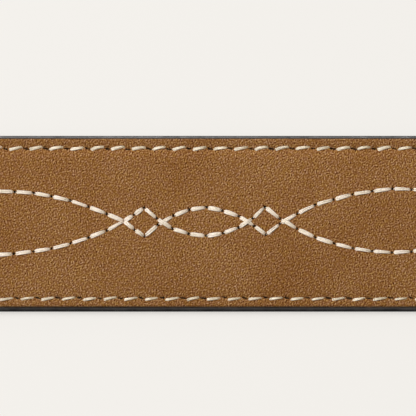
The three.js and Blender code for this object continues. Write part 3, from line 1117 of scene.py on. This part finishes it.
# The edge row's underside, which lies in a groove of the backing.
def undersideThread():
    found = []
    for s, after in zip(stations, stations[1:]):
        a, _ = onRow(s + underRow["endGap"])
        b, _ = onRow(after - underRow["endGap"])
        if min(a[0], b[0]) > foldFrom + underRow["fromFold"]:
            points, faces, pulled = stitch(a, b, underStitch, 0.0)
            points[:, 2] = underRow["deep"] - points[:, 2]
            found.append((points, [f[::-1] for f in faces], pulled))
    threadPiece("undersideThread", found, edgeThreadFinish)


# Rows across the strap, in front of the keeper and behind it, that hold the turned-back end.
crossRows = {"fromBar": (24.0, 53.0), "pitch": 4.45, "fromEdge": 2.2, "slant": 0.25, "endGap": 0.55}
crossStitch = dict(edgeStitch, wide=1.0, taper=-0.1, curl=0.1, sunk=0.04)


def crossThreads():
    found = []
    reach = strap["halfWidth"] - edgeRows["back"]["inset"] - crossRows["fromEdge"]
    count = round(2 * reach / crossRows["pitch"])
    stops = np.linspace(-reach, reach, count + 1)
    upper = path["u"] > foldFrom
    slant, gap, base = crossRows["slant"], crossRows["endGap"], faceTop - crossStitch["sunk"]
    for offset in crossRows["fromBar"]:
        u = np.interp(barX + offset, path["x"][upper], path["u"][upper])
        for low, high in zip(stops, stops[1:]):
            found.append(stitch((u - slant, low + gap), (u + slant, high - gap), crossStitch, base))
    threadPiece("turnThread", found, edgeThreadFinish)


# Points of a rounded rectangle with their outward directions. Corners at +u and at -u may differ in radius.
def roundedLoop(halfLong, halfShort, plusRadius, minusRadius, cornerSteps, sideSteps):
    corners = [(1, 1, plusRadius), (-1, 1, minusRadius), (-1, -1, minusRadius), (1, -1, plusRadius)]
    rows = []
    for quarter, (sideU, sideV, radius) in enumerate(corners):
        u, v = sideU * (halfLong - radius), sideV * (halfShort - radius)
        for angle in pi * (quarter / 2 + np.linspace(0, 0.5, cornerSteps + 1)):
            c, s = cos(angle), sin(angle)
            rows.append((u + radius * c, v + radius * s, c, s))
    filled = []
    for i, row in enumerate(rows):
        after = rows[(i + 1) % len(rows)]
        steps = sideSteps if (i + 1) % (cornerSteps + 1) == 0 else 1
        filled += [tuple(between(np.array(row), np.array(after), t / steps)) for t in range(steps)]
    return filled


keeper = {"corner": 2.6, "softCorner": 0.36, "edgeCorner": 0.25, "crown": 0.25, "cornerSteps": 9,
          "sideSteps": 14}


def keeperBand():
    low, high = nodeBox("keeper")
    halfWide, halfHigh = high[1], (high[2] - low[2]) / 2
    thick, wide = turn["keeperThick"], high[0] - low[0]
    soft, edge = keeper["softCorner"], keeper["edgeCorner"]
    # Across the band: x from its edge, and distance in from its outer side
    section = [(soft, 0), (wide * 0.25, 0), (wide * 0.5, 0), (wide * 0.75, 0), (wide - soft, 0),
               (wide - 0.1, 0.1), (wide, soft), (wide, thick - edge), (wide - edge, thick), (edge, thick),
               (0, thick - edge), (0, soft), (0.1, 0.1)]
    painted = {4, 5, 6, 7, 10, 11, 12}
    loop = roundedLoop(halfWide, halfHigh, keeper["corner"], keeper["corner"], keeper["cornerSteps"],
                       keeper["sideSteps"])
    rings, places, along, last = [], [], 0.0, loop[0]
    for y, z, outY, outZ in loop:
        flatTop = max(outZ, 0) ** 4 * (1 - (y / halfWide) ** 2)
        along += hypot(y - last[0], z - last[1])
        last = (y, z)
        for x, inward in section:
            out = keeper["crown"] * flatTop - inward
            rings.append((low[0] + x, y + outY * out, (low[2] + high[2]) / 2 + z + outZ * out))
            places.append((low[0] + x, along, 0))
    faces = loftFaces(len(loop), len(section), True)
    kinds = [int(i % len(section) in painted) for i in range(len(faces))]
    zeros = np.zeros(len(rings))
    piece = makePiece("keeperBand", rings, faces, [suede, edgePaintFilm],
                      {"pit": zeros, "cutEdge": zeros, "flatPlace": np.array(places) * mm,
                       "thinPaint": zeros + 1}, kinds, 60)
    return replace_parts(piece, "keeper")


buckle = {
    "barRadius": 2.0,
    "reach": 30.0,  # bar to the middle of the front rod
    "inside": 40.0,
    "frontCorner": 7.0,
    "barCorner": 2.5,
    "rodWide": 2.6,
    "rodHigh": 2.2,
    "lift": 0.05,
    "eyeWall": 1.5,
    "eyeWidth": 4.4,
    "rodSides": 28,
    "cornerSteps": 16,
    "sideSteps": 12,
}
prongRows = table("x z wide high", (1.5, 2.6, 2.1, 1.0), (-3.0, 3.6, 2.1, 1.2), (-10.0, 4.1, 2.0, 1.4),
                  (-22.0, 4.2, 1.8, 1.4), (-28.5, 3.8, 1.7, 1.3), (-31.8, 3.2, 1.4, 1.0))
prong = {"sides": 20, "rings": 34, "tipLength": 1.6, "tipDepth": 0.96}
eye = {"sides": 40, "profile": [(0.0, -0.45), (0.12, -0.14), (0.42, 0.0)]}  # in from its side, and in radius


def rodRing(centre, outward, wide, high, sides):
    sideways = np.outer(wide * np.cos(around(sides)), outward)
    return np.asarray(centre) + sideways + np.outer(high * np.sin(around(sides)), (0, 0, 1))


def plainObject(name, rings, closed):
    return newObject(name, newMesh(name, np.concatenate(rings), loftFaces(len(rings), len(rings[0]), closed)))


def evaluatedMesh(body):
    return bpy.data.meshes.new_from_object(body.evaluated_get(bpy.context.evaluated_depsgraph_get()))


def joinSolid(body, other):
    union = body.modifiers.new("join", "BOOLEAN")
    union.operation = "UNION"
    union.solver = "EXACT"
    union.object = other
    mesh = evaluatedMesh(body)
    body.modifiers.clear()
    body.data = mesh
    bpy.data.objects.remove(other)


def frameObject():
    halfAcross = buckle["inside"] / 2 + buckle["barRadius"]
    halfReach = buckle["reach"] / 2
    loop = roundedLoop(halfReach, halfAcross, buckle["barCorner"], buckle["frontCorner"],
                       buckle["cornerSteps"], buckle["sideSteps"])
    rings = []
    for u, v, outU, outV in loop:
        share = eased(np.clip((1 - u / halfReach) / 2, 0, 1))
        wide, high = (between(buckle["barRadius"], buckle[key], share) for key in ("rodWide", "rodHigh"))
        rings.append(rodRing((u - halfReach, v, 0), (outU, outV, 0), wide, high, buckle["rodSides"]))
    return plainObject("buckleBody", rings, True)


def prongObject():
    columns = {k: [row[k] for row in prongRows][::-1] for k in ("x", "z", "wide", "high")}
    rings = []
    for x in np.linspace(columns["x"][0], columns["x"][-1], prong["rings"])[::-1]:
        z, wide, high = (np.interp(x, columns["x"], columns[k]) for k in ("z", "wide", "high"))
        fromTip = min((x - columns["x"][0]) / prong["tipLength"], 1)
        ending = sqrt(1 - (1 - fromTip) ** 2 * prong["tipDepth"])
        rings.append(rodRing((x, 0, z), (0, 1, 0), wide * ending, high * ending, prong["sides"]))
    return plainObject("prong", rings, False)


def eyeObject():
    radius, wide = buckle["barRadius"] + buckle["eyeWall"], buckle["eyeWidth"] / 2
    stops = [(-wide + a, radius + r) for a, r in eye["profile"]]
    stops += [(-y, r) for y, r in reversed(stops)]
    rings = [rodRing((0, y, 0), (1, 0, 0), r, r, eye["sides"]) for y, r in stops]
    return plainObject("eye", rings, False)


# Frame, bar and prong as one solid, tilted so that the front rod rests on the floor.
def frameBuckle():
    body = frameObject()
    joinSolid(body, prongObject())
    joinSolid(body, eyeObject())
    tilt = asin((barHeight - buckle["rodHigh"] - buckle["lift"]) / buckle["reach"])
    place = Matrix.Translation((barX * mm, 0, barHeight * mm)) @ Matrix.Rotation(-tilt, 4, "Y")
    mesh = evaluatedMesh(body)
    mesh.transform(place)
    bpy.data.objects.remove(body)
    mesh.materials.clear()
    mesh.materials.append(nickel)
    mesh.name = "frameBuckle"
    piece = smoothPiece("frameBuckle", mesh, 38)
    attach(piece, "root")
    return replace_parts(piece, "buckle")


suedeFace()
blackBacking()
edgePaint()
patternThreads()
edgeThreads()
undersideThread()
crossThreads()
keeperBand()
frameBuckle()

studio = {
    "view": 90.06,  # width that the camera sees at the strap's face
    "lens": 300.0,
    "tilt": 6.5,  # degrees that it leans towards the strap's front edge
    "aim": (-39.82, 3.185, 3.5),
    "floor": (0.25, 0.2435, 0.2325, 1),
    "floorReach": 6.0,  # metres
    "floorGlow": 0.605,  # a table lit from below, which keeps the shadow weak
    "glowColour": (1.0, 0.972, 0.927, 1),
    "sky": 0.22,
    "skyColour": (1.0, 0.99, 0.975, 1),
    "lampDistance": 2.0,  # metres
}
# Size is in metres, left and back are degrees, and matt says whether the lamp lights more than reflections.
lamps = table("name power size left back matt",
              ("keyBox", 28.9, 0.7, 23.0, 6.0, True),
              ("rakeBox", 13.1, 0.85, 20.0, 17.0, True),
              ("backBox", 58.0, 1.0, 8.0, 55.0, False))


def paleFloor():
    material, tree, shader = newMaterial("paleFloor")
    seen = tree.nodes.new("ShaderNodeLightPath").outputs["Is Camera Ray"]
    setInputs(tree, shader, baseColor=studio["floor"], roughness=0.9, specularIORLevel=0.1,
              emissionColor=studio["glowColour"], emissionStrength=times(tree, seen, studio["floorGlow"]))
    mesh = bpy.data.meshes.new("floor")
    corners = np.array([(-1, -1, 0), (1, -1, 0), (1, 1, 0), (-1, 1, 0)]) * studio["floorReach"]
    mesh.from_pydata(corners.tolist(), [], [(0, 1, 2, 3)])
    mesh.materials.append(material)
    floor = newObject("floor", mesh)


def studioScene():
    scene = bpy.context.scene
    paleFloor()
    world = bpy.data.worlds.new("studioSky")
    scene.world = world
    world.use_nodes = True
    background = world.node_tree.nodes["Background"]
    setInputs(world.node_tree, background, color=studio["skyColour"], strength=studio["sky"])

    aim = Vector(studio["aim"]) * mm
    for row in lamps:
        light = bpy.data.lights.new(row["name"], "AREA")
        light.shape = "SQUARE"
        light.size = row["size"]
        light.energy = row["power"]
        left, back = radians(row["left"]), radians(row["back"])
        direction = Vector((-tan(left), tan(back), 1)).normalized()
        lamp = newObject(row["name"], light)
        lamp.location = aim + direction * studio["lampDistance"]
        lamp.rotation_euler = direction.to_track_quat("Z", "Y").to_euler()
        lamp.visible_diffuse = row["matt"]

    camera = bpy.data.cameras.new("camera")
    camera.lens = studio["lens"]
    camera.sensor_width = 36.0
    camera.clip_start = 0.01
    distance = studio["view"] * mm * camera.lens / camera.sensor_width
    tilt = radians(studio["tilt"])
    viewer = newObject("camera", camera)
    viewer.location = aim + Vector((0, -sin(tilt), cos(tilt))) * distance
    viewer.rotation_euler = (tilt, 0, 0)
    scene.camera = viewer
    scene.view_settings.view_transform = "Standard"


studioScene()
print("studio made")
